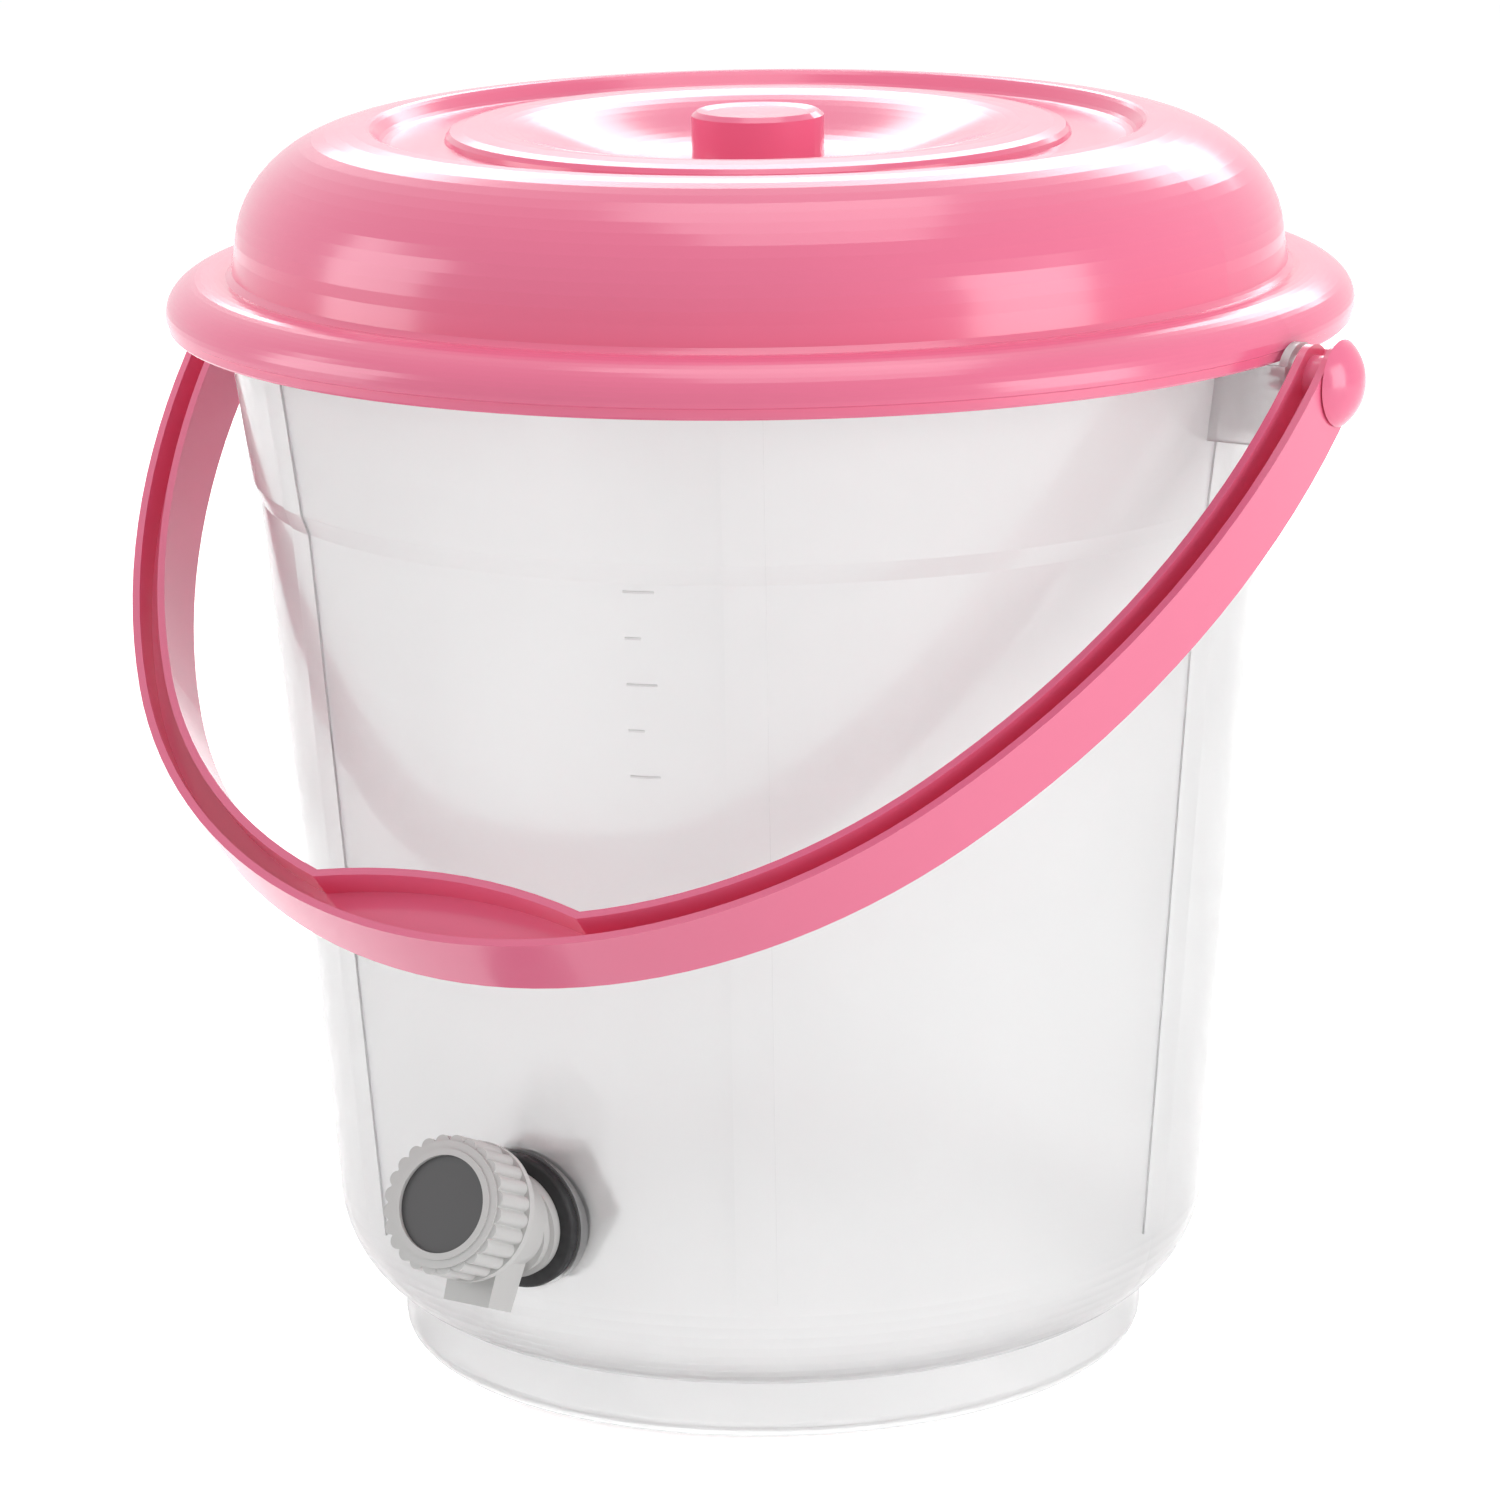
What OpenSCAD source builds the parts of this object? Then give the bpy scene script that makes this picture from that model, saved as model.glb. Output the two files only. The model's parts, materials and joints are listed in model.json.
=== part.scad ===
// Plastic fermenting bucket: tapered tub with a foot, snap lid, swinging
// bail handle and a screw-down drain tap low on the front wall.
// Origin: on the tub's axis in the plane of its foot. +Z is up, the tap
// faces -Y and the handle swings about an axis along X.

/* [Tub] */
// Outer radius of the foot ring
foot_r = 97; // [90:1:102]
// Height of the foot ring
foot_h = 16; // [12:1:20]
// Rounding of the foot's lower edge
foot_round = 5; // [2:0.5:8]
// Rounding of the shoulder above the foot
shoulder_round = 30; // [24:1:34]
// Outer radius at the bottom of the tapered wall
base_r = 113.3; // [108:0.5:118]
// Height of the bottom of the tapered wall
base_z = 42; // [38:1:48]
// Outer radius just under the stacking step
step_r = 128; // [124:0.5:130]
// Height of the stacking step
step_z = 225; // [150:1:240]
// How far the wall jumps outward at the stacking step
step_out = 1.2; // [0.8:0.1:2]
// Outer radius of the wall under the rim
mouth_r = 136; // [134:0.5:137]
// Height of the rim
rim_z = 276.5; // [230:0.5:320]
// Outer radius of the rolled rim
rim_r = 144.6; // [142:0.1:144.8]
// Depth of the rim's turned-down lip
rim_lip = 4.8; // [3.8:0.1:6]
// Thickness of the tub's wall
wall = 2; // [1.6:0.1:2.6]
// Width of the six upright stiffening bands
band_w = 10; // [6:0.5:14]
// Height of the stiffening bands above the wall
band_t = 0.6; // [0.3:0.1:1]

/* [Ears] */
// Half width of each ear, around the tub
ear_half_w = 9; // [8.5:0.1:12]
// Height of each ear
ear_h = 19.7; // [16:0.1:24]
// Thickness of the ear's face and ribs
ear_wall = 2.2; // [1.8:0.1:2.2]

/* [Lid] */
// Outer radius of the lid's flange
lid_r = 150; // [149:0.5:151]
// Half width of the flange's rounded bead
bead_r = 12; // [11:0.5:13]
// Height of the bead above its widest line
bead_h = 9; // [7.5:0.5:11]
// Depth of the skirt below the bead's centre
skirt_h = 4; // [3.8:0.1:4.4]
// Thickness of the lid
lid_t = 2; // [1.6:0.1:2.4]
// Outer radius of the dome at its root
dome_r = 133.2; // [131:0.1:133.4]
// Radius at which the dome meets the crown
crown_r = 98.5; // [90:0.5:104]
// Height of the dome and crown above the rim
crown_h = 40.2; // [34:0.2:50]
// Width of the sloping wall of the recess
recess_wall_w = 5; // [3:0.5:8]
// Depth of the annular recess in the crown
recess_d = 3.8; // [2:0.2:6]
// Outer radius of the raised ring
ring_r = 78.5; // [72:0.5:84]
// Radius of the raised ring's crest
ring_crest_r = 69; // [62:0.5:74]
// Step up from the recess to the raised ring
ring_step = 1.2; // [0.6:0.1:2]
// Radius of the flat floor of the well
well_r = 27; // [24:0.5:34]
// Depth of the well below the crown
well_d = 11; // [8:0.2:14]
// Radius of the knob
knob_r = 16.7; // [14:0.1:20]

/* [Handle] */
// Height of the handle's pivots below the rim
pivot_drop = 13.2; // [13.2:0.1:17]
// Half span of the handle over its outer faces
bail_half = 163; // [163:0.1:168]
// Reach of the handle from its pivots
bail_reach = 197; // [190:1:215]
// Radius of the handle's curved end
bail_tip_r = 146; // [125:0.2:150]
// Width of the strap across its plane
strap_w = 17.6; // [16:0.2:22]
// Thickness of the strap in its plane
strap_t = 9; // [7:0.1:9]
// Thickness of the strap's two flanges
flange_t = 2; // [1.6:0.1:2.4]
// Thickness of the web between the flanges
web_t = 3; // [2:0.1:5]
// Half length of the grip
grip_half = 38; // [32:0.5:44]
// How far the grip bulges inward
grip_bulge = 10; // [6:0.5:12]
// Angle of the hanging handle away from straight down
hang_angle = 49.2; // [49:0.1:60]

/* [Pivots] */
// Diameter of the rivet's shank
pin_d = 7; // [6:0.1:7]
// Diameter of the rivet's domed head
pin_head_d = 21; // [16:0.5:22]
// Height of the rivet's domed head
pin_head_h = 5; // [3:0.1:7]
// Running clearance between handle and rivet, on the diameter
pin_play = 0.16; // [0.1:0.02:0.2]

/* [Tap] */
// Height of the tap's inlet above the floor
tap_z = 60.3; // [60:0.1:80]
// Outer diameter of the threaded tail
tail_d = 20.9; // [18:0.1:24]
// Length of the threaded tail behind the gasket seat
tail_len = 19; // [17:0.5:26]
// Outer diameter of the gasket
gasket_d = 34.2; // [30:0.2:38]
// Thickness of the gasket
gasket_t = 3; // [2:0.1:4]
// Diameter of the tap's flange
tap_flange_d = 27; // [25:0.2:28]
// Outer diameter of the tap's barrel
barrel_d = 24.4; // [23:0.2:26]
// Upward tilt of the valve
valve_tilt = 24; // [15:1:30]
// Diameter of the hand wheel over its grips
wheel_d = 34; // [32:0.2:38]
// Depth of the hand wheel
wheel_t = 14.9; // [13:0.1:17]
// Number of grips round the hand wheel
wheel_grips = 24; // [16:1:30]
// Diameter of the cap in the middle of the wheel
cap_d = 23.6; // [20:0.2:25]
// Width of the spout at its root
spout_w = 14.4; // [12.4:0.2:16]
// Width of the spout at its mouth
spout_mouth_w = 13.2; // [11:0.2:14]
// Length of the spout from the valve's axis
spout_len = 22; // [18:0.5:26]

/* [Hidden] */

$fn = 96;
eps = 0.01;
far = 400;
pink = "#f57f9f";
clear_white = "#eef0f1";
tap_white = "#f0f0ee";
seal_black = "#1c1c1c";
seal_pale = "#e4e3dc";
cap_grey = "#5c5c5c";

// Seats, clearances and levels that several pieces share
running = 0.1;
seat_gap = 0.3;
hook_gap = 0.4;
ear_gap = 0.5;
bead_c = [lid_r - bead_r, rim_z - 4.5];
lid_seat_z = rim_z + seat_gap;
lid_foot_z = bead_c[1] - skirt_h;
crown_z = rim_z + crown_h;
pivot_z = rim_z - pivot_drop;
ear_boss_d = pin_d + 7;
ear_boss_h = 0.9;
ear_x = bail_half - strap_t - ear_gap - ear_boss_h;
ear_top_z = lid_foot_z - seat_gap;
band_top_z = rim_z - rim_lip - 3;
step_top_z = step_z + 5;

// Points on an arc about c, from angle a0 to a1
function arc(c, r, a0, a1, n) = [for (i = [0:n]) let (a = a0 + (a1 - a0) * i / n) c + r * [cos(a), sin(a)]];
// Points on an ellipse about c
function oval(c, rx, rz, a0, a1, n) =
    [for (i = [0:n]) let (a = a0 + (a1 - a0) * i / n) c + [rx * cos(a), rz * sin(a)]];
// A smooth rise from p to q, level at both ends
function ease(p, q, n) =
    [for (i = [0:n]) let (k = i / n) [p[0] + (q[0] - p[0]) * k, p[1] + (q[1] - p[1]) * (1 - cos(180 * k)) / 2]];
function flip(v) = [for (i = [len(v) - 1:-1:0]) v[i]];
// Outer radius of the tub's wall at height z
function wall_r(z) = z < step_z
    ? base_r + (step_r - base_r) * (z - base_z) / (step_z - base_z)
    : step_r + step_out + (mouth_r - step_r - step_out) * (z - step_z) / (rim_z - step_z);

// ---------------------------------------------------------------- tub

// Outline of the tub from the foot to the top of the wall, t inside the outer skin
function tub_outline(t) = let (
    c = [base_r - shoulder_round, base_z],
    a = -asin((base_z - foot_h - t) / (shoulder_round - t)))
    concat(
        [[0, t]],
        arc([foot_r - foot_round, foot_round], max(foot_round - t, 0.5), -90, 0, 6),
        [[foot_r - t, foot_h + t]],
        arc(c, shoulder_round - t, a, 0, 10),
        [[step_r - t, step_z], [wall_r(step_top_z) - t, step_top_z], [mouth_r - t, rim_z]]);

// Flat seat for the tap's gasket and washer on the curved wall
tap_pad_r = gasket_d / 2 + 0.6;
tap_seat = wall_r(tap_z + tap_pad_r) + 0.12;
tap_inner_seat = sqrt(pow(wall_r(tap_z - tap_pad_r) - wall, 2) - pow(tap_pad_r, 2)) - 0.2;
tail_play = 0.4;

module tub_shell() {
    rotate_extrude()
        difference() {
            polygon(concat(tub_outline(0), [[0, rim_z]]));
            polygon(concat(tub_outline(wall), [[mouth_r - wall, rim_z + 1], [0, rim_z + 1]]));
        }
    rotate_extrude() {
        translate([mouth_r - wall / 2, rim_z - wall])
            square([rim_r - mouth_r + wall / 2, wall]);
        translate([rim_r - wall, rim_z - rim_lip])
            square([wall, rim_lip]);
    }
}

// Six upright bands, spaced so that two run under the ears
module tub_bands() {
    intersection() {
        rotate_extrude()
            polygon([[base_r - 1, base_z], [base_r + band_t, base_z],
                     [step_r + band_t, step_z], [wall_r(step_top_z) + band_t, step_top_z],
                     [wall_r(band_top_z) + band_t, band_top_z],
                     [wall_r(band_top_z) - 1, band_top_z], [wall_r(step_top_z) - 1, step_top_z],
                     [step_r - 1, step_z]]);
        for (a = [30, 90, 150])
            rotate(a)
                translate([-band_w / 2, -far / 2, 0])
                    cube([band_w, far, far]);
    }
}

// One ear on the +X side: a face rounded about the rivet, carried by two ribs
module ear() {
    rib_x = mouth_r - ear_half_w;
    difference() {
        union() {
            translate([ear_x - ear_wall, -ear_half_w, ear_top_z - ear_h])
                cube([ear_wall, 2 * ear_half_w, pivot_z - ear_top_z + ear_h]);
            translate([ear_x - ear_wall, 0, pivot_z])
                rotate([0, 90, 0])
                    cylinder(h = ear_wall, r = ear_half_w);
            translate([ear_x - 1, 0, pivot_z])
                rotate([0, 90, 0])
                    cylinder(h = 1 + ear_boss_h, d = ear_boss_d);
            for (s = [-1, 1])
                translate([rib_x, s * (ear_half_w - ear_wall / 2) - ear_wall / 2, ear_top_z - ear_h])
                    cube([ear_x - rib_x, ear_wall, ear_h]);
        }
        rotate_extrude()
            polygon([[0, 0], [base_r - wall, 0], [step_r - wall / 2, step_z],
                     [wall_r(step_top_z) - wall / 2, step_top_z], [mouth_r - wall / 2, rim_z], [0, rim_z]]);
    }
}

module bucket() {
    color(clear_white)
    difference() {
        union() {
            tub_shell();
            tub_bands();
            ear();
            mirror([1, 0, 0]) ear();
            translate([0, -tap_inner_seat, tap_z])
                rotate([90, 0, 0])
                    cylinder(h = tap_seat - tap_inner_seat, r = tap_pad_r);
        }
        translate([0, 1 - tap_inner_seat, tap_z])
            rotate([90, 0, 0])
                cylinder(h = tap_seat - tap_inner_seat + 2, d = tail_d + tail_play);
        for (s = [0, 1])
            mirror([s, 0, 0])
                translate([ear_x - ear_wall - 1, 0, pivot_z])
                    rotate([0, 90, 0])
                        cylinder(h = ear_wall + ear_boss_h + 2, d = pin_d + running);
    }
}

// ---------------------------------------------------------------- lid

ring_z = crown_z - 0.6;
recess_z = crown_z - recess_d;
well_z = crown_z - well_d;
knob_z = crown_z + 2.4;
dome_root_z = rim_z + 4.7;
dome_spring_z = rim_z + 10.5;
dome_spring_r = dome_r - 0.8;
plug_r = wall_r(lid_foot_z + 2) - wall - hook_gap - 0.2;

// Upper skin of the crown, from the knob out to the lip; t moves it down to the under skin
function crown_skin(t) = concat(
    [[0, knob_z - 1 - t], [knob_r - 4, knob_z - 0.6 - t], [knob_r - 1.4 - t * 0.6, knob_z - t],
     [knob_r - t, knob_z - 1.2 - t], [knob_r - t, well_z - t], [well_r, well_z - t]],
    ease([well_r + 1, well_z - t], [ring_crest_r, ring_z - t], 14),
    [[ring_r - 4, ring_z - 0.25 - t], [ring_r - 1, ring_z - 0.9 - t], [ring_r, recess_z + ring_step - t],
     [ring_r + 0.4, recess_z - t], [crown_r - recess_wall_w - 1, recess_z - 0.4 - t]],
    ease([crown_r - recess_wall_w, recess_z - 0.2 - t], [crown_r, crown_z - t], 6));

// Quarter oval from the crown's lip down to the dome's spring line
function dome_skin(t) = oval([crown_r, dome_spring_z], dome_spring_r - crown_r - t,
                             crown_z - dome_spring_z - t, 84, 0, 14);

module lid_outline() {
    lip_step = 0.7;
    inner_bead_r = bead_r - lid_t;
    skirt_in = lid_r - lid_t - 0.4;
    polygon(concat(
        crown_skin(0),
        dome_skin(0),
        [[dome_r, dome_root_z + 0.8], [dome_r + 0.6, dome_root_z + 0.2]],
        oval(bead_c, bead_r, bead_h, 106, 0, 14),
        [[lid_r, lid_foot_z + 3], [lid_r - lip_step, lid_foot_z + 2.6], [lid_r - lip_step, lid_foot_z + 0.6],
         [lid_r - lip_step - 0.6, lid_foot_z], [skirt_in + 0.3, lid_foot_z], [skirt_in, lid_foot_z + 0.4],
         [rim_r + hook_gap, lid_foot_z + 2.6], [rim_r + hook_gap, lid_foot_z + 3.2],
         [skirt_in, lid_foot_z + skirt_h - 0.2]],
        oval(bead_c, inner_bead_r, bead_h - lid_t, 0, acos((rim_r - 1 - bead_c[0]) / inner_bead_r), 5),
        [[rim_r - 1.6, lid_seat_z], [plug_r + 0.6, lid_seat_z], [plug_r, lid_foot_z + 3],
         [plug_r - 0.6, lid_foot_z + 2], [plug_r - lid_t + 0.3, lid_foot_z + 2],
         [plug_r - lid_t, lid_foot_z + 3], [dome_r - lid_t, dome_root_z]],
        flip(dome_skin(lid_t)),
        flip(crown_skin(lid_t))));
}

module lid() {
    color(pink)
    rotate_extrude(convexity = 8)
        lid_outline();
}

// ---------------------------------------------------------------- handle

side_r = (pow(bail_reach - bail_tip_r, 2) + bail_half * bail_half - bail_tip_r * bail_tip_r)
         / (2 * (bail_half - bail_tip_r));
tip_angle = atan2(bail_reach - bail_tip_r, side_r - bail_half);
eye_r = strap_w / 2;

// Everything within the handle's outline moved in by t: two side arcs meet a tip arc
module bail_area(t) {
    join_y = -(bail_reach - bail_tip_r) - (bail_tip_r - t) * sin(tip_angle);
    intersection() {
        intersection_for (s = [-1, 1])
            translate([s * (side_r - bail_half), 0])
                circle(side_r - t, $fn = 240);
        translate([-far / 2, join_y])
            square([far, -join_y]);
    }
    translate([-bail_half + t, -eps])
        square([2 * (bail_half - t), eye_r + eps]);
    intersection() {
        translate([0, bail_tip_r - bail_reach])
            circle(bail_tip_r - t, $fn = 240);
        translate([-far / 2, join_y + eps - far])
            square([far, far]);
    }
}

// Segment that the grip adds inside the curved end, less t on its inner side
module grip_area(t) {
    inner = bail_tip_r - strap_t;
    chord_y = bail_tip_r - bail_reach - sqrt(inner * inner - grip_half * grip_half);
    rise = grip_bulge - (inner - sqrt(inner * inner - grip_half * grip_half));
    arc_r = (grip_half * grip_half + rise * rise) / (2 * rise);
    intersection() {
        translate([0, chord_y + rise - arc_r])
            circle(arc_r - t, $fn = 240);
        translate([-grip_half, -bail_reach])
            square([2 * grip_half, bail_reach]);
    }
}

// The strap's outline between two depths from its outer face
module strap_area(t0, t1, t_grip) {
    difference() {
        bail_area(t0);
        difference() {
            bail_area(t1);
            grip_area(t_grip);
        }
    }
}

module eye_place(s) {
    translate([s * bail_half, 0, 0])
        rotate([0, -s * 90, 0])
            children();
}

module handle() {
    groove_d = (strap_w - web_t) / 2;
    color(pink)
    translate([0, 0, pivot_z])
        rotate([90 - hang_angle, 0, 0])
            difference() {
                union() {
                    intersection() {
                        difference() {
                            linear_extrude(strap_w, center = true)
                                strap_area(0, strap_t, 0);
                            for (s = [-1, 1])
                                translate([0, 0, s * (web_t + groove_d + 1) / 2])
                                    linear_extrude(groove_d + 1, center = true)
                                        strap_area(flange_t, strap_t - flange_t, flange_t);
                        }
                        union() {
                            translate([-far / 2, -far, -strap_w])
                                cube([far, far, 2 * strap_w]);
                            rotate([0, 90, 0])
                                cylinder(h = far, r = eye_r, center = true);
                        }
                    }
                    for (s = [-1, 1])
                        eye_place(s)
                            translate([0, 0, flange_t / 2])
                                cylinder(h = strap_t - flange_t, d = pin_d + 5.6);
                }
                for (s = [-1, 1])
                    eye_place(s)
                        translate([0, 0, -1])
                            cylinder(h = strap_t + 2, d = pin_d + pin_play);
            }
}

// Push-in rivet, drawn along +Z with the handle's outer face at z = 0:
// domed head, shank through handle and ear, split barbed end behind the ear
module pivot_rivet() {
    grip_len = bail_half - ear_x + ear_wall;
    head_r = (pow(pin_head_d / 2, 2) + pin_head_h * pin_head_h) / (2 * pin_head_h);
    barb = 0.7;
    barb_len = 5;
    slot = 1.6;
    difference() {
        union() {
            translate([0, 0, seat_gap])
                intersection() {
                    cylinder(h = pin_head_h, d = pin_head_d);
                    translate([0, 0, pin_head_h - head_r])
                        sphere(head_r);
                }
            translate([0, 0, -grip_len - 0.1])
                cylinder(h = grip_len + 1, d = pin_d);
            translate([0, 0, -grip_len - 0.1 - barb_len])
                cylinder(h = barb_len, d1 = pin_d - 2, d2 = pin_d + 2 * barb);
        }
        translate([-slot / 2, -pin_d, -grip_len - barb_len - 1])
            cube([slot, 2 * pin_d, barb_len + 1]);
    }
}

module pivot_rivet_right() {
    color(pink)
    translate([bail_half, 0, pivot_z])
        rotate([0, 90, 0])
            pivot_rivet();
}

module pivot_rivet_left() {
    color(pink)
    translate([-bail_half, 0, pivot_z])
        rotate([0, -90, 0])
            pivot_rivet();
}

// ---------------------------------------------------------------- tap

elbow_s = 8;
elbow_up = 2.2;
inlet_d = 11;
chamber_d = 14;
seat_hole_d = 8;
spout_root_depth = 13;
spout_mouth_depth = 10.4;
spout_axis = 3.1;
spout_bore = 8;
neck_d = 19.6;
wheel_back = 13.2;
wheel_front = wheel_back + wheel_t;
bonnet_foot = 9;
neck_end = 18;
bonnet_end = 21.5;
bonnet_flange_d = 20;
spindle_d = 10;
spindle_foot = 3.4;
spindle_pitch = 2.4;
spindle_thread = 3 * spindle_pitch;
cap_ledge = wheel_front - 2.4;
wheel_floor = wheel_front - 4.2;
spindle_shoulder = wheel_floor - 1.7;
shaft_d = 8;
shaft_end = wheel_floor - 0.1;
shaft_flat = 1;
jumper_d = 11;
jumper_t = 2;
washer_t = 2;
stem_d = 5;
cord_d = 1.78;
groove_t = 15.2;
screw_d = 3.4;
thread_pitch = 1.814;
thread_depth = 1.1;
nut_t = 8;
nut_flats = 32;
inner_washer_t = 2;

// Along the inlet: +Z points out of the tub, z = 0 on the gasket's seat
module inlet_frame() {
    translate([0, -tap_seat, tap_z])
        rotate([90, 0, 0])
            children();
}

// Along the valve: +Z points out through the wheel, z = 0 at the elbow's centre
module valve_frame() {
    translate([0, -tap_seat - elbow_s, tap_z + elbow_up])
        rotate([90 - valve_tilt, 0, 0])
            children();
}

// Solid round bar with ridges like a screw thread
module threaded_bar(d, h, pitch, depth) {
    turns = floor(h / pitch);
    rotate_extrude()
        polygon(concat(
            [[0, 0], [d / 2 - depth, 0]],
            [for (i = [0:turns - 1], p = [[d / 2 - depth, 0.1], [d / 2, 0.4], [d / 2, 0.6], [d / 2 - depth, 0.9]])
                [p[0], (i + p[1]) * pitch]],
            [[d / 2 - depth, h], [0, h]]));
}

// Spout square to the valve: narrows evenly from its root to its mouth
module spout_solid(lift) {
    intersection() {
        translate([0, 0, -far / 2])
            linear_extrude(far)
                polygon([[-spout_w / 2, 0], [spout_w / 2, 0], [spout_mouth_w / 2, -spout_len],
                         [-spout_mouth_w / 2, -spout_len]]);
        rotate([0, 90, 0])
            linear_extrude(far, center = true)
                polygon([[spout_root_depth / 2 - lift, 0], [-spout_root_depth / 2 - lift, 0],
                         [-spout_mouth_depth / 2 - spout_axis, -spout_len],
                         [spout_mouth_depth / 2 - spout_axis, -spout_len]]);
    }
}

module tap_body() {
    flange_t_tap = 2.5;
    color(tap_white)
    difference() {
        union() {
            inlet_frame() {
                translate([0, 0, -tail_len])
                    threaded_bar(tail_d, tail_len + gasket_t, thread_pitch, thread_depth);
                translate([0, 0, gasket_t])
                    cylinder(h = flange_t_tap, d = tap_flange_d);
                translate([0, 0, gasket_t])
                    cylinder(h = elbow_s - gasket_t, d = barrel_d);
            }
            valve_frame() {
                intersection() {
                    sphere(d = barrel_d);
                    rotate([valve_tilt, 0, 0])
                        translate([-far / 2, -far / 2, gasket_t - elbow_s])
                            cube(far);
                }
                cylinder(h = wheel_back - 0.5, d = barrel_d);
                cylinder(h = neck_end, d = neck_d);
                spout_solid(1.8);
            }
        }
        inlet_frame()
            translate([0, 0, -tail_len - 1])
                cylinder(h = tail_len + 1 + elbow_s - 4.4, d = inlet_d);
        valve_frame() {
            translate([0, 0, -6])
                cylinder(h = 6, d = seat_hole_d);
            translate([0, 0, -1])
                cylinder(h = neck_end + 2, d = chamber_d);
            translate([0, -1, spout_axis])
                rotate([90, 0, 0])
                    cylinder(h = spout_len, d = spout_bore);
        }
    }
}

module tap_gasket() {
    color(seal_black)
    inlet_frame()
        rotate_extrude()
            polygon(concat(
                [[tail_d / 2 + tail_play / 2, 0]],
                arc([gasket_d / 2 - 0.6, 0.6], 0.6, -90, 0, 3),
                arc([gasket_d / 2 - 0.8, gasket_t - 0.8], 0.8, 0, 90, 3),
                [[tail_d / 2 + tail_play / 2, gasket_t]]));
}

module tap_inner_washer() {
    color(seal_pale)
    translate([0, -tap_inner_seat, tap_z])
        rotate([-90, 0, 0])
            difference() {
                cylinder(h = inner_washer_t, d = nut_flats + 1);
                translate([0, 0, -1])
                    cylinder(h = inner_washer_t + 2, d = tail_d + tail_play);
            }
}

module tap_backnut() {
    collar = 1.4;
    color(tap_white)
    translate([0, -tap_inner_seat + inner_washer_t, tap_z])
        rotate([-90, 0, 0])
            difference() {
                union() {
                    cylinder(h = collar, d = nut_flats + 1);
                    cylinder(h = nut_t, d = nut_flats / cos(30), $fn = 6);
                }
                translate([0, 0, -1])
                    cylinder(h = nut_t + 2, d = tail_d + running);
            }
}

module tap_bonnet() {
    color(tap_white)
    valve_frame()
        difference() {
            union() {
                translate([0, 0, bonnet_foot])
                    cylinder(h = neck_end - bonnet_foot, d = chamber_d - running);
                translate([0, 0, neck_end])
                    cylinder(h = bonnet_end - neck_end, d = bonnet_flange_d, $fn = 8);
            }
            translate([0, 0, bonnet_foot - 1])
                cylinder(h = bonnet_end, d = spindle_d + 2 * running);
        }
}

module tap_jumper() {
    jumper_back = washer_t - 1;
    color(tap_white)
    valve_frame()
        translate([0, 0, jumper_back]) {
            cylinder(h = jumper_t, d = jumper_d);
            cylinder(h = jumper_t + 5, d = stem_d);
        }
}

module tap_valve_washer() {
    color(seal_black)
    valve_frame()
        translate([0, 0, -1])
            difference() {
                cylinder(h = washer_t, d = jumper_d - 0.4);
                translate([0, 0, -1])
                    cylinder(h = washer_t + 2, d = 2);
            }
}

module tap_spindle() {
    color(tap_white)
    valve_frame()
        difference() {
            union() {
                translate([0, 0, spindle_foot])
                    threaded_bar(spindle_d, spindle_thread, spindle_pitch, 0.7);
                translate([0, 0, spindle_foot + spindle_thread])
                    cylinder(h = spindle_shoulder - spindle_foot - spindle_thread, d = spindle_d);
                translate([0, 0, spindle_shoulder - 1])
                    cylinder(h = shaft_end - spindle_shoulder + 1, d = shaft_d);
            }
            translate([0, 0, spindle_foot - 1])
                cylinder(h = 5.6, d = stem_d + 2 * running);
            translate([0, 0, groove_t])
                difference() {
                    cylinder(h = cord_d + 0.3, d = spindle_d + 2);
                    translate([0, 0, -1])
                        cylinder(h = cord_d + 3, d = spindle_d - 2 * cord_d);
                }
            translate([shaft_d / 2 - shaft_flat, -far / 2, spindle_shoulder])
                cube([far, far, far]);
            translate([0, 0, shaft_end - 8])
                cylinder(h = 9, d = screw_d + eps);
        }
}

module tap_spindle_o_ring() {
    color(seal_black)
    valve_frame()
        translate([0, 0, groove_t + cord_d / 2 + 0.15])
            rotate_extrude()
                translate([spindle_d / 2 - cord_d / 2 + running / 2, 0])
                    circle(d = cord_d - running);
}

module tap_wheel() {
    bump_r = 2;
    skirt_t = 2.4;
    rim_t = 2;
    color(tap_white)
    valve_frame()
        difference() {
            union() {
                translate([0, 0, wheel_back + rim_t])
                    linear_extrude(wheel_t - rim_t - 0.9)
                        union() {
                            circle(wheel_d / 2 - 1.3);
                            for (i = [0:wheel_grips - 1])
                                rotate(i * 360 / wheel_grips)
                                    translate([wheel_d / 2 - bump_r, 0])
                                        circle(bump_r, $fn = 24);
                        }
                translate([0, 0, wheel_back])
                    cylinder(h = rim_t, d = wheel_d + 0.4);
                translate([0, 0, wheel_front - 1])
                    cylinder(h = 0.6, d = wheel_d - 3);
                translate([0, 0, wheel_front - 1])
                    difference() {
                        cylinder(h = 1, d = cap_d + 3.4);
                        translate([0, 0, -1])
                            cylinder(h = 4, d = cap_d + 0.2);
                    }
            }
            translate([0, 0, wheel_back - 1])
                cylinder(h = spindle_shoulder - wheel_back + 1, d = wheel_d - 2.6 - 2 * skirt_t);
            translate([0, 0, wheel_floor])
                cylinder(h = far, d = cap_d - 3);
            translate([0, 0, cap_ledge])
                cylinder(h = far, d = cap_d + 0.2);
            difference() {
                translate([0, 0, wheel_back])
                    cylinder(h = far, d = shaft_d + eps);
                translate([shaft_d / 2 - shaft_flat + eps, -far / 2, wheel_back])
                    cube([far, far, far]);
            }
        }
}

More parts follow.
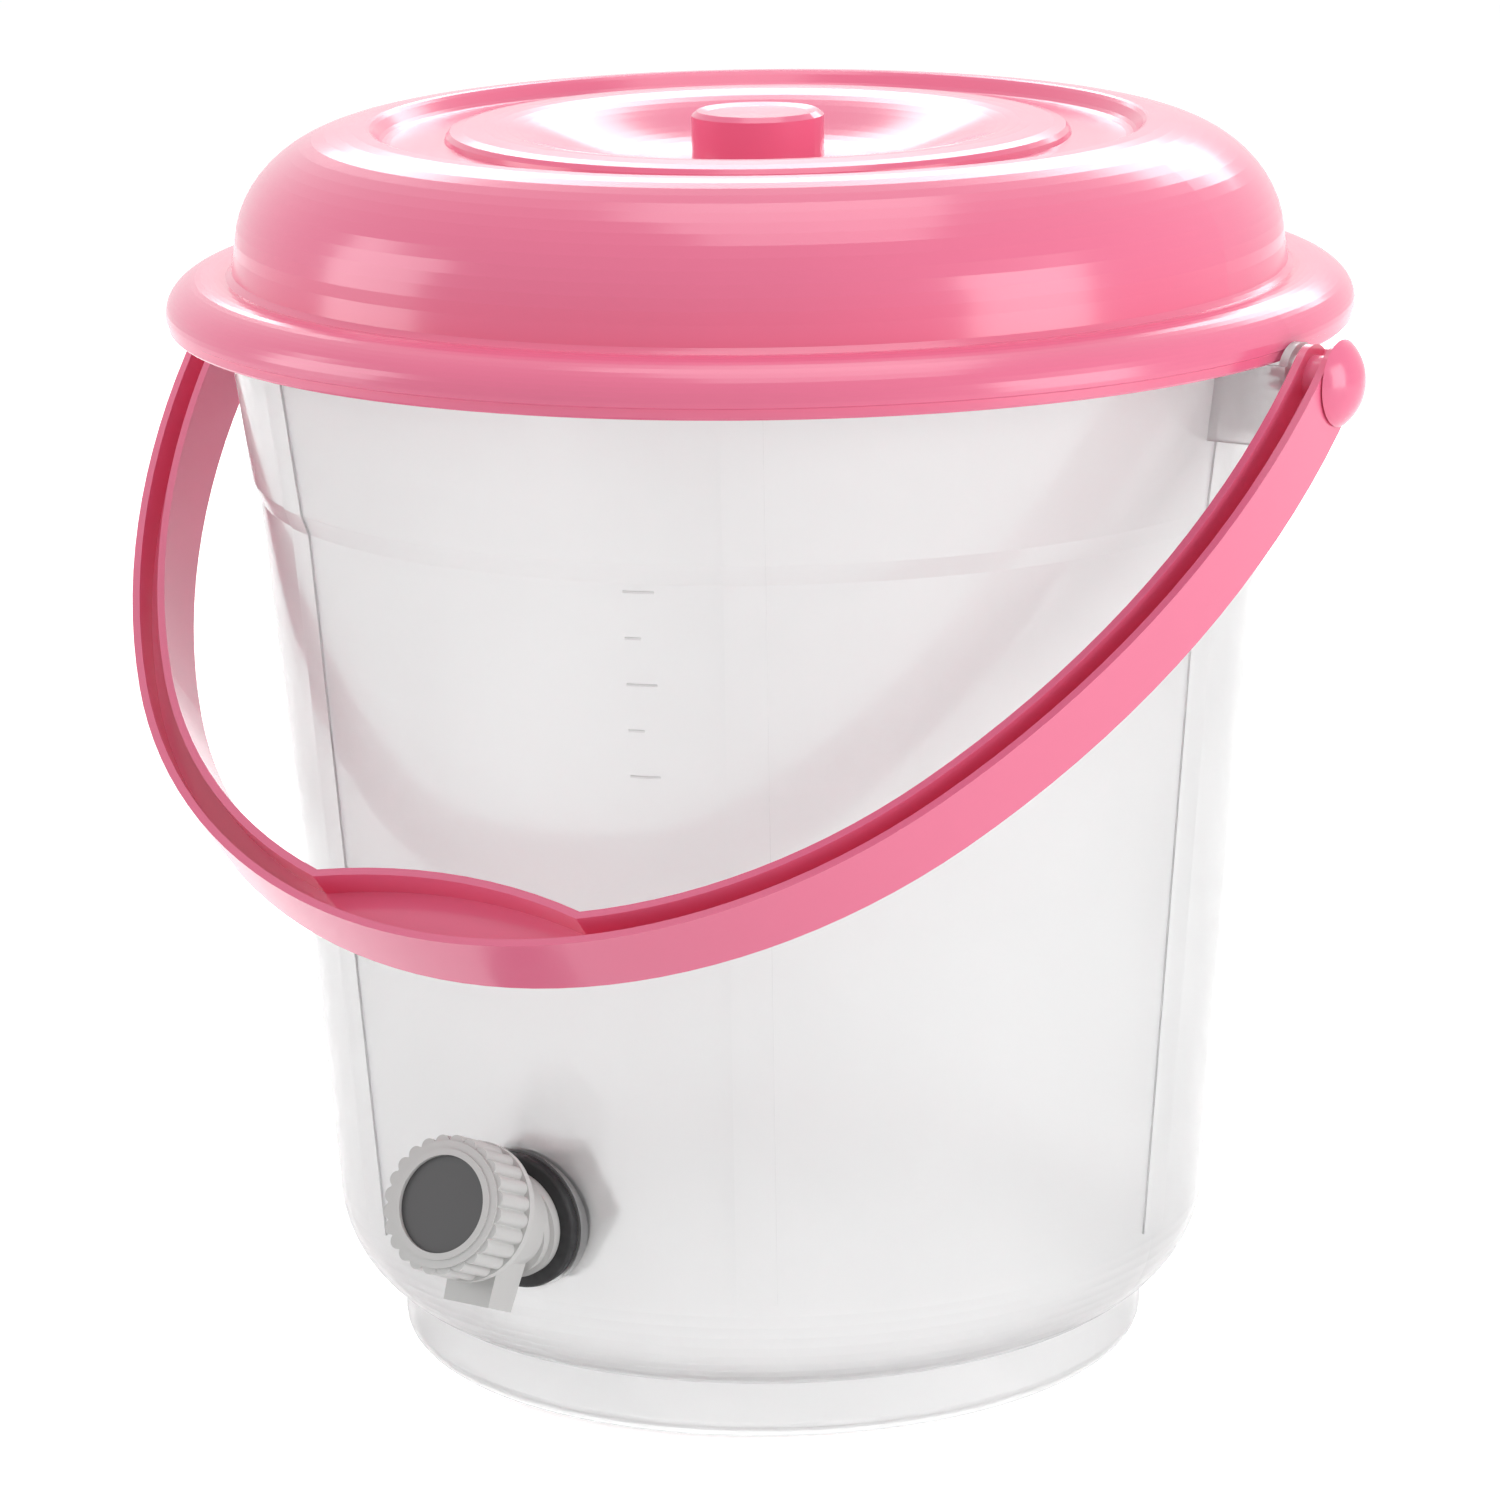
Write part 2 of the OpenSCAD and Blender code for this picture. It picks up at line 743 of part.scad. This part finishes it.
module tap_wheel_screw() {
    head_d = 10;
    head_h = 1.4;
    color("silver")
    valve_frame()
        difference() {
            union() {
                translate([0, 0, wheel_floor])
                    cylinder(h = head_h, d = head_d);
                translate([0, 0, shaft_end - 7.5])
                    cylinder(h = 8, d = screw_d);
            }
            for (a = [0, 90])
                rotate(a)
                    translate([-2.2, -0.4, wheel_floor + head_h - 0.8])
                        cube([4.4, 0.8, 2]);
        }
}

module tap_wheel_cap() {
    cap_t = 1.4;
    color(cap_grey)
    valve_frame()
        translate([0, 0, cap_ledge])
            cylinder(h = cap_t, d = cap_d);
}

bucket();
lid();
handle();
pivot_rivet_right();
pivot_rivet_left();
tap_body();
tap_gasket();
tap_inner_washer();
tap_backnut();
tap_bonnet();
tap_jumper();
tap_valve_washer();
tap_spindle();
tap_spindle_o_ring();
tap_wheel();
tap_wheel_screw();
tap_wheel_cap();
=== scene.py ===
"""Looks of a plastic fermenting bucket: translucent tub, pink lid and handle, white tap.

Everything is in metres, in the part's own frame: the tub stands on z = 0 with its axis
on Z, the tap faces -Y and the handle swings about an axis along X.
"""

from __future__ import annotations

import json
import logging
import math
from dataclasses import dataclass
from enum import Enum

import bmesh
import bpy
from mathutils import Matrix, Vector

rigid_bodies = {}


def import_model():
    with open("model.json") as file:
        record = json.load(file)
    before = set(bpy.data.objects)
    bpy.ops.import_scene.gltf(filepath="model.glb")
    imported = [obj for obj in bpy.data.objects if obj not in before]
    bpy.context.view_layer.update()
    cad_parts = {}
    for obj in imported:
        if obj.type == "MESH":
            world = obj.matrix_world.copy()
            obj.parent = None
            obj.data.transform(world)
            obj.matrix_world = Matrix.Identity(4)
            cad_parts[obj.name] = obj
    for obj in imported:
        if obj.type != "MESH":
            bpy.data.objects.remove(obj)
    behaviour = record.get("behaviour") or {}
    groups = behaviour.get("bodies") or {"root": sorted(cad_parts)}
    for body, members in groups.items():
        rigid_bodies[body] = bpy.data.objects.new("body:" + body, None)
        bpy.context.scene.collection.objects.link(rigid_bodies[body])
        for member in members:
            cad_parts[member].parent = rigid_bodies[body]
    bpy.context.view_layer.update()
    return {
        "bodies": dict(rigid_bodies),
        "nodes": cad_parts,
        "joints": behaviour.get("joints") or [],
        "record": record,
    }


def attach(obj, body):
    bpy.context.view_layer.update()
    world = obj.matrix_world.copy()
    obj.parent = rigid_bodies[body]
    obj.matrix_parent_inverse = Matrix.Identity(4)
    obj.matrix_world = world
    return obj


LOG = logging.getLogger("fermenting_bucket")
MM = 0.001
# Nearly all of a noise's values lie between these two.
NOISE_LOW = 0.3
NOISE_HIGH = 0.7
WHITE = (1, 1, 1, 1)
UPWARD = Vector((0, 0, 1))
Colour = tuple[float, float, float]
Point = tuple[float, float, float]


class Body(Enum):
    """The rigid bodies that new pieces ride on."""

    TUB = "tub"


class Slot(Enum):
    """The record's material slots."""

    BUCKET = "bucket"
    LID = "lid"
    HANDLE = "handle"
    RIVET = "pivot_rivet"
    TAP = "tap_plastic"
    SEAL = "seal"
    SILICONE = "silicone"
    SCREW = "screw"
    CAP = "cap"


# ------------------------------------------------------------------ node graphs


def scaled(colour: Colour, factor: float) -> Colour:
    """Returns a colour multiplied by a factor, without going past white."""
    return tuple(min(1.0, channel * factor) for channel in colour)


@dataclass(frozen=True)
class Pattern:
    """A noise: its cells per metre, its octaves and the factors on its three coordinates."""

    scale: float
    detail: float
    stretch: Point = (1, 1, 1)


class NodeGraph:
    """A small helper that lays nodes into the tree of a material or a world."""

    def __init__(self, owner: bpy.types.Material | bpy.types.World) -> None:
        """Empties the owner's node tree.

        Args:
            owner: the material or world that the nodes belong to.
        """
        owner.use_nodes = True
        self.tree = owner.node_tree
        self.tree.nodes.clear()

    def add(self, kind: str, **settings: object) -> bpy.types.Node:
        """Adds one node.

        Args:
            kind: the node's type without its "ShaderNode" prefix.
            settings: properties to set on the node.

        Returns:
            The new node.
        """
        node = self.tree.nodes.new("ShaderNode" + kind)
        for key, value in settings.items():
            setattr(node, key, value)
        return node

    def link(self, source: bpy.types.NodeSocket, target: bpy.types.NodeSocket) -> None:
        """Joins an output socket to an input socket."""
        self.tree.links.new(source, target)

    def noise(self, pattern: Pattern) -> bpy.types.NodeSocket:
        """Adds a noise in the object's own coordinates.

        Args:
            pattern: the noise's size, detail and stretch.

        Returns:
            The noise's value output.
        """
        coords = self.add("TexCoord")
        mapping = self.add("Mapping")
        mapping.inputs["Scale"].default_value = pattern.stretch
        self.link(coords.outputs["Object"], mapping.inputs["Vector"])
        noise = self.add("TexNoise")
        noise.inputs["Scale"].default_value = pattern.scale
        noise.inputs["Detail"].default_value = pattern.detail
        self.link(mapping.outputs["Vector"], noise.inputs["Vector"])
        return noise.outputs["Fac"]

    def ramp(self, source: bpy.types.NodeSocket, low: Colour, high: Colour,
             start: float = NOISE_LOW, end: float = NOISE_HIGH) -> bpy.types.NodeSocket:
        """Turns a value into a colour between two ends.

        Args:
            source: the value that drives the ramp.
            low: colour at and below start.
            high: colour at and above end.
            start: value where the ramp leaves low.
            end: value where it reaches high.

        Returns:
            The ramp's colour output.
        """
        ramp = self.add("ValToRGB")
        first, last = ramp.color_ramp.elements
        first.position, last.position = start, end
        first.color, last.color = (*low, 1), (*high, 1)
        self.link(source, ramp.inputs["Fac"])
        return ramp.outputs["Color"]

    def spread(self, source: bpy.types.NodeSocket, low: float, high: float,
               start: float = NOISE_LOW, end: float = NOISE_HIGH) -> bpy.types.NodeSocket:
        """Maps a value onto a range of numbers.

        Args:
            source: the value to map.
            low: number at and below start.
            high: number at and above end.
            start: value that becomes low.
            end: value that becomes high.

        Returns:
            The mapped value's output.
        """
        mapped = self.add("MapRange")
        mapped.inputs["From Min"].default_value = start
        mapped.inputs["From Max"].default_value = end
        mapped.inputs["To Min"].default_value = low
        mapped.inputs["To Max"].default_value = high
        self.link(source, mapped.inputs["Value"])
        return mapped.outputs["Result"]

    def bump(self, source: bpy.types.NodeSocket, height: float,
             under: bpy.types.NodeSocket | None = None) -> bpy.types.NodeSocket:
        """Turns a value into a bump.

        Args:
            source: the height's shape.
            height: depth of the bump, in metres.
            under: a bump below this one.

        Returns:
            The bumped normal's output.
        """
        bump = self.add("Bump")
        bump.inputs["Strength"].default_value = 1.0
        bump.inputs["Distance"].default_value = height
        self.link(source, bump.inputs["Height"])
        if under is not None:
            self.link(under, bump.inputs["Normal"])
        return bump.outputs["Normal"]

    def backdrop_rays(self) -> bpy.types.NodeSocket:
        """Tells the rays that show a backdrop from those that light the object.

        Returns:
            A value that is 1 for camera, glossy and transmission rays, and 0 for others.
        """
        path = self.add("LightPath")
        seen = path.outputs["Is Camera Ray"]
        for ray in ("Is Glossy Ray", "Is Transmission Ray"):
            either = self.add("Math", operation="MAXIMUM")
            self.link(seen, either.inputs[0])
            self.link(path.outputs[ray], either.inputs[1])
            seen = either.outputs[0]
        return seen


# ------------------------------------------------------------------ finishes


@dataclass(frozen=True)
class Finish:
    """A named surface that can be turned into a material."""

    name: str
    colour: Colour

    def surface(self, graph: NodeGraph, shader: bpy.types.Node) -> None:
        """Wires the finish into its main shader."""
        raise NotImplementedError

    def material(self) -> bpy.types.Material:
        """Builds the material.

        Returns:
            The finished material.
        """
        material = bpy.data.materials.new(self.name)
        graph = NodeGraph(material)
        shader = graph.add("BsdfPrincipled")
        self.surface(graph, shader)
        graph.link(shader.outputs["BSDF"], graph.add("OutputMaterial").inputs["Surface"])
        return material


@dataclass(frozen=True)
class MouldedPlastic(Finish):
    """Opaque moulded plastic with a faint flow pattern, handling marks and a fine grain."""

    shade: float = 0.94
    roughness: float = 0.2
    rough_spread: float = 0.06
    coat: float = 0.0
    coat_roughness: float = 0.14
    ior: float = 1.49
    grain: float = 0.01 * MM
    ripple: float = 0.02 * MM
    flow_noise: Pattern = Pattern(18, 3, (1, 1, 0.35))
    handling_noise: Pattern = Pattern(60, 5)
    ripple_noise: Pattern = Pattern(30, 2)
    grain_noise: Pattern = Pattern(2600, 2)

    def surface(self, graph: NodeGraph, shader: bpy.types.Node) -> None:
        """Wires flow marks, handling marks, ripple and grain into the shader.

        Args:
            graph: the material's nodes.
            shader: its Principled BSDF.
        """
        flow = graph.noise(self.flow_noise)
        graph.link(graph.ramp(flow, scaled(self.colour, self.shade), self.colour),
                   shader.inputs["Base Color"])
        handling = graph.noise(self.handling_noise)
        graph.link(graph.spread(handling, self.roughness, self.roughness + self.rough_spread),
                   shader.inputs["Roughness"])
        ripple = graph.bump(graph.noise(self.ripple_noise), self.ripple)
        graph.link(graph.bump(graph.noise(self.grain_noise), self.grain, ripple),
                   shader.inputs["Normal"])
        shader.inputs["IOR"].default_value = self.ior
        shader.inputs["Coat Weight"].default_value = self.coat
        shader.inputs["Coat Roughness"].default_value = self.coat_roughness


@dataclass(frozen=True)
class NaturalPlastic(Finish):
    """Milky translucent plastic that lets light through and blurs what lies behind it."""

    transmission: float = 0.78
    roughness: float = 0.28
    haze: float = 0.08
    coat: float = 0.6
    coat_roughness: float = 0.09
    ior: float = 1.3
    streak: float = 1.03
    ripple: float = 0.12 * MM
    streak_noise: Pattern = Pattern(14, 4, (1, 1, 0.12))
    haze_noise: Pattern = Pattern(40, 4)
    ripple_noise: Pattern = Pattern(16, 2, (1, 1, 0.3))

    def surface(self, graph: NodeGraph, shader: bpy.types.Node) -> None:
        """Wires streaks, clouds and ripple into the shader.

        Args:
            graph: the material's nodes.
            shader: its Principled BSDF.
        """
        streaks = graph.noise(self.streak_noise)
        graph.link(graph.ramp(streaks, self.colour, scaled(self.colour, self.streak)),
                   shader.inputs["Base Color"])
        clouds = graph.noise(self.haze_noise)
        graph.link(graph.spread(clouds, self.roughness, self.roughness + self.haze),
                   shader.inputs["Roughness"])
        graph.link(graph.bump(graph.noise(self.ripple_noise), self.ripple), shader.inputs["Normal"])
        shader.inputs["IOR"].default_value = self.ior
        shader.inputs["Coat Weight"].default_value = self.coat
        shader.inputs["Coat Roughness"].default_value = self.coat_roughness
        shader.inputs["Transmission Weight"].default_value = self.transmission


@dataclass(frozen=True)
class Rubber(Finish):
    """Moulded rubber with a fine grain and a little dust."""

    dust: float = 2.2
    dust_start: float = 0.45
    dust_end: float = 0.8
    roughness: float = 0.45
    rough_spread: float = 0.2
    grain: float = 0.02 * MM
    dust_noise: Pattern = Pattern(220, 5)
    handling_noise: Pattern = Pattern(500, 3)
    grain_noise: Pattern = Pattern(3000, 2)

    def surface(self, graph: NodeGraph, shader: bpy.types.Node) -> None:
        """Wires dust and grain into the shader.

        Args:
            graph: the material's nodes.
            shader: its Principled BSDF.
        """
        dusty = scaled(self.colour, self.dust)
        dust = graph.noise(self.dust_noise)
        graph.link(graph.ramp(dust, self.colour, dusty, self.dust_start, self.dust_end),
                   shader.inputs["Base Color"])
        handling = graph.noise(self.handling_noise)
        graph.link(graph.spread(handling, self.roughness, self.roughness + self.rough_spread),
                   shader.inputs["Roughness"])
        graph.link(graph.bump(graph.noise(self.grain_noise), self.grain), shader.inputs["Normal"])


@dataclass(frozen=True)
class PlatedSteel(Finish):
    """Bright plated steel with fine dull spots."""

    dull: float = 0.8
    roughness: float = 0.22
    rough_spread: float = 0.18
    spot_noise: Pattern = Pattern(900, 4)
    polish_noise: Pattern = Pattern(1500, 3)

    def surface(self, graph: NodeGraph, shader: bpy.types.Node) -> None:
        """Wires dull spots and uneven polish into the shader.

        Args:
            graph: the material's nodes.
            shader: its Principled BSDF.
        """
        spots = graph.noise(self.spot_noise)
        graph.link(graph.ramp(spots, scaled(self.colour, self.dull), self.colour),
                   shader.inputs["Base Color"])
        polish = graph.noise(self.polish_noise)
        graph.link(graph.spread(polish, self.roughness, self.roughness + self.rough_spread),
                   shader.inputs["Roughness"])
        shader.inputs["Metallic"].default_value = 1.0


@dataclass(frozen=True)
class StudioPaper:
    """White stage paper: it reads as white behind the object, and still takes its shadow."""

    name: str
    colour: Colour = (0.9, 0.9, 0.9)
    glow: float = 0.6

    def material(self) -> bpy.types.Material:
        """Builds the material.

        Returns:
            The finished material.
        """
        material = bpy.data.materials.new(self.name)
        graph = NodeGraph(material)
        paper = graph.add("BsdfDiffuse")
        paper.inputs["Color"].default_value = (*self.colour, 1)
        light = graph.add("Emission")
        light.inputs["Color"].default_value = WHITE
        strength = graph.add("Math", operation="MULTIPLY")
        strength.inputs[1].default_value = self.glow
        graph.link(graph.backdrop_rays(), strength.inputs[0])
        graph.link(strength.outputs[0], light.inputs["Strength"])
        both = graph.add("AddShader")
        graph.link(paper.outputs[0], both.inputs[0])
        graph.link(light.outputs[0], both.inputs[1])
        graph.link(both.outputs[0], graph.add("OutputMaterial").inputs["Surface"])
        return material


# ------------------------------------------------------------------ mesh helpers


def dress(node: bpy.types.Object, material: bpy.types.Material) -> None:
    """Gives a piece one material in all its slots.

    Args:
        node: the piece.
        material: its finish.
    """
    if not node.data.materials:
        node.data.materials.append(material)
    for place in node.material_slots:
        place.material = material


def surface_point(node: bpy.types.Object, angle: float, height: float, lift: float) -> Vector:
    """Finds a point on a piece's outer wall, looking in towards the Z axis.

    Args:
        node: the piece with the wall.
        angle: angle round the axis from the tap's side towards +X, in radians.
        height: height of the point, in metres.
        lift: how far outside the wall the point lies, in metres.

    Returns:
        The point, in the part's frame.
    """
    outward = Vector((math.sin(angle), -math.cos(angle), 0))
    start = outward * 2 * max(node.dimensions) + UPWARD * height
    inverse = node.matrix_world.inverted()
    hit, place, _, _ = node.ray_cast(inverse @ start, -(inverse.to_3x3() @ outward))
    if not hit:
        raise ValueError(f"{node.name} has no wall at height {height}")
    return node.matrix_world @ place + outward * lift


def wall_bar(shape: bmesh.types.BMesh, node: bpy.types.Object, angles: tuple[float, float],
             heights: tuple[float, float], proud: float, sink: float = 0.1 * MM,
             slope: float = 0.25, steps: int = 6) -> None:
    """Adds a low bar that follows a curved wall, with its edges sloped down into the wall.

    Args:
        shape: the mesh that takes the bar.
        node: the piece with the wall.
        angles: where the bar starts and ends round the axis, in radians.
        heights: the bar's lower and upper edge, in metres.
        proud: how far its face stands off the wall, in metres.
        sink: how far its edges go into the wall, in metres.
        slope: width of each sloped edge, as a share of the bar's height.
        steps: spans along the bar.
    """
    low, high = heights
    inset = (high - low) * slope
    section = [(low, -sink), (low + inset, proud), (high - inset, proud), (high, -sink)]
    rings = []
    for step in range(steps + 1):
        angle = angles[0] + (angles[1] - angles[0]) * step / steps
        rings.append([shape.verts.new(surface_point(node, angle, z, lift)) for z, lift in section])
    for near, away in zip(rings, rings[1:]):
        for i in range(len(section)):
            j = (i + 1) % len(section)
            shape.faces.new((near[i], away[i], away[j], near[j]))
    shape.faces.new(rings[0])
    shape.faces.new(list(reversed(rings[-1])))


def finish_mesh(name: str, shape: bmesh.types.BMesh, material: bpy.types.Material) -> bpy.types.Object:
    """Turns a bmesh into an object in the scene.

    Args:
        name: the object's name.
        shape: its geometry, which is freed.
        material: its finish.

    Returns:
        The new object.
    """
    mesh = bpy.data.meshes.new(name)
    shape.to_mesh(mesh)
    shape.free()
    piece = bpy.data.objects.new(name, mesh)
    bpy.context.scene.collection.objects.link(piece)
    dress(piece, material)
    return piece


# ------------------------------------------------------------------ sub-assemblies


@dataclass
class SubAssembly:
    """CAD nodes that share finishes, found by the record's material slots."""

    frame: dict

    def dress_slots(self, materials: dict[Slot, bpy.types.Material]) -> list[bpy.types.Object]:
        """Dresses every CAD node of some material slots.

        Args:
            materials: the finish of each slot.

        Returns:
            The nodes dressed.
        """
        dressed = []
        for subpart in self.frame["record"]["subparts"]:
            slot = Slot(subpart["material_slot"])
            if slot in materials:
                node = self.frame["nodes"][subpart["node"]]
                dress(node, materials[slot])
                dressed.append(node)
        return dressed


@dataclass
class Tub(SubAssembly):
    """The translucent tub and the raised litre scale on its wall."""

    finish: NaturalPlastic = NaturalPlastic("bucket_natural_plastic", (0.9, 0.905, 0.905))
    scale_angle: float = math.radians(17)
    scale_foot: float = 177 * MM
    scale_pitch: float = 11.4 * MM
    scale_marks: int = 5
    mark_height: float = 0.7 * MM
    mark_proud: float = 0.22 * MM
    long_sweep: float = math.radians(3.4)
    short_sweep: float = math.radians(1.8)

    def scale(self, tub: bpy.types.Object, material: bpy.types.Material) -> bpy.types.Object:
        """Raises the litre scale: a column of bars, every second one long.

        Args:
            tub: the tub's CAD node.
            material: the tub's finish.

        Returns:
            The scale.
        """
        shape = bmesh.new()
        for mark in range(self.scale_marks):
            low = self.scale_foot + mark * self.scale_pitch
            sweep = self.long_sweep if mark % 2 == 0 else self.short_sweep
            wall_bar(shape, tub, (self.scale_angle, self.scale_angle + sweep),
                     (low, low + self.mark_height), self.mark_proud)
        bmesh.ops.recalc_face_normals(shape, faces=shape.faces)
        piece = finish_mesh("litre_scale", shape, material)
        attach(piece, Body.TUB.value)
        return piece

    def build(self) -> list[bpy.types.Object]:
        """Dresses the tub and raises its scale.

        Returns:
            The pieces dressed or made.
        """
        material = self.finish.material()
        (tub,) = self.dress_slots({Slot.BUCKET: material})
        return [tub, self.scale(tub, material)]


@dataclass
class PinkParts(SubAssembly):
    """The lid, the handle and its rivets."""

    finish: MouldedPlastic = MouldedPlastic("pink_plastic", (0.93, 0.18, 0.325), shade=0.97,
                                           rough_spread=0.025, coat=0.3, grain=0.003 * MM)

    def build(self) -> list[bpy.types.Object]:
        """Dresses the pink pieces and returns them."""
        material = self.finish.material()
        return self.dress_slots({slot: material for slot in (Slot.LID, Slot.HANDLE, Slot.RIVET)})


@dataclass
class Tap(SubAssembly):
    """The screw-down tap."""

    white: MouldedPlastic = MouldedPlastic("tap_white_plastic", (0.66, 0.66, 0.65), roughness=0.28)
    grey: MouldedPlastic = MouldedPlastic("cap_grey_plastic", (0.085, 0.085, 0.087), roughness=0.45)
    rubber: Rubber = Rubber("seal_rubber", (0.012, 0.012, 0.013))
    silicone: Rubber = Rubber("washer_silicone", (0.72, 0.71, 0.67), dust=1.06)
    steel: PlatedSteel = PlatedSteel("screw_steel", (0.62, 0.62, 0.6))

    def build(self) -> list[bpy.types.Object]:
        """Dresses the tap's pieces and returns them."""
        finishes = {Slot.TAP: self.white, Slot.SEAL: self.rubber, Slot.SILICONE: self.silicone,
                    Slot.SCREW: self.steel, Slot.CAP: self.grey}
        return self.dress_slots({slot: finish.material() for slot, finish in finishes.items()})


# ------------------------------------------------------------------ stage


@dataclass(frozen=True)
class Softbox:
    """One soft rectangular lamp: place, target and size in metres, power in watts."""

    name: str
    place: Point
    target: Point
    size: tuple[float, float]
    power: float

    def hang(self) -> None:
        """Hangs the lamp in its place, facing its target."""
        data = bpy.data.lights.new(self.name, "AREA")
        data.shape = "RECTANGLE"
        data.size, data.size_y = self.size
        data.energy = self.power
        lamp = bpy.data.objects.new(self.name, data)
        lamp.location = self.place
        facing = Vector(self.target) - Vector(self.place)
        lamp.rotation_euler = facing.to_track_quat("-Z", "Y").to_euler()
        bpy.context.scene.collection.objects.link(lamp)


@dataclass
class Studio:
    """The floor, the air, the lamps and the camera.

    The azimuth is in degrees, and pitch, yaw and roll are in radians. The lens and the
    sensor are in millimetres, and the other lengths in metres.
    """

    azimuth: float = 32.0
    distance: float = 1.38
    height: float = 0.5025
    pitch: float = 0.248
    yaw: float = 0.003
    roll: float = 0.014
    lens: float = 132.0
    sensor: float = 36.0
    reach: float = 50.0
    floor_half: float = 4.0
    daylight: float = 0.42
    softboxes: tuple[Softbox, ...] = (
        Softbox("key_softbox", (-1.6, -1.0, 0.75), (0, 0, 0.16), (1.0, 1.2), 11),
        Softbox("back_softbox", (-0.8, 1.9, 1.35), (0, 0, 0.25), (2.2, 0.8), 19),
        Softbox("top_softbox", (0.1, 0.1, 1.9), (0, 0, 0.2), (1.4, 1.0), 9),
        Softbox("fill_softbox", (1.9, 0.0, 0.6), (0, 0, 0.16), (1.0, 1.2), 15),
    )

    def floor(self) -> None:
        """Lays the paper floor."""
        shape = bmesh.new()
        bmesh.ops.create_grid(shape, x_segments=2, y_segments=2, size=self.floor_half)
        finish_mesh("floor_paper", shape, StudioPaper("stage_white_paper").material())

    def air(self) -> None:
        """Sets a plain pale world that reads as white behind the object."""
        world = bpy.data.worlds.new("studio_air")
        bpy.context.scene.world = world
        graph = NodeGraph(world)
        air = graph.add("Background")
        air.inputs["Color"].default_value = WHITE
        strength = graph.spread(graph.backdrop_rays(), self.daylight, 1.0, start=0.0, end=1.0)
        graph.link(strength, air.inputs["Strength"])
        graph.link(air.outputs[0], graph.add("OutputWorld").inputs["Surface"])

    def camera(self) -> None:
        """Sets the camera at its viewing angle."""
        turn = math.radians(self.azimuth)
        place = Vector((self.distance * math.sin(turn), -self.distance * math.cos(turn), self.height))
        forward = Vector((-math.sin(turn), math.cos(turn), 0))
        forward.rotate(Matrix.Rotation(self.yaw, 3, "Z"))
        side = forward.cross(UPWARD)
        look = forward * math.cos(self.pitch) - UPWARD * math.sin(self.pitch)
        level_up = side.cross(look)
        right = side * math.cos(self.roll) - level_up * math.sin(self.roll)
        up = right.cross(look)
        data = bpy.data.cameras.new("studio_camera")
        data.lens = self.lens
        data.sensor_width = self.sensor
        data.clip_end = self.reach
        camera = bpy.data.objects.new("studio_camera", data)
        camera.matrix_world = Matrix((
            (right.x, up.x, -look.x, place.x),
            (right.y, up.y, -look.y, place.y),
            (right.z, up.z, -look.z, place.z),
            (0, 0, 0, 1)))
        bpy.context.scene.collection.objects.link(camera)
        bpy.context.scene.camera = camera

    def build(self) -> None:
        """Builds the whole stage."""
        bpy.context.scene.view_settings.view_transform = "Standard"
        self.floor()
        self.air()
        for softbox in self.softboxes:
            softbox.hang()
        self.camera()


def main() -> None:
    """Builds the bucket and its stage."""
    logging.basicConfig(level=logging.INFO, format="%(message)s")
    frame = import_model()
    for part in (Tub(frame), PinkParts(frame), Tap(frame)):
        for piece in part.build():
            LOG.info("%s: %s", type(part).__name__, piece.name)
    Studio().build()


if __name__ == "__main__":
    main()
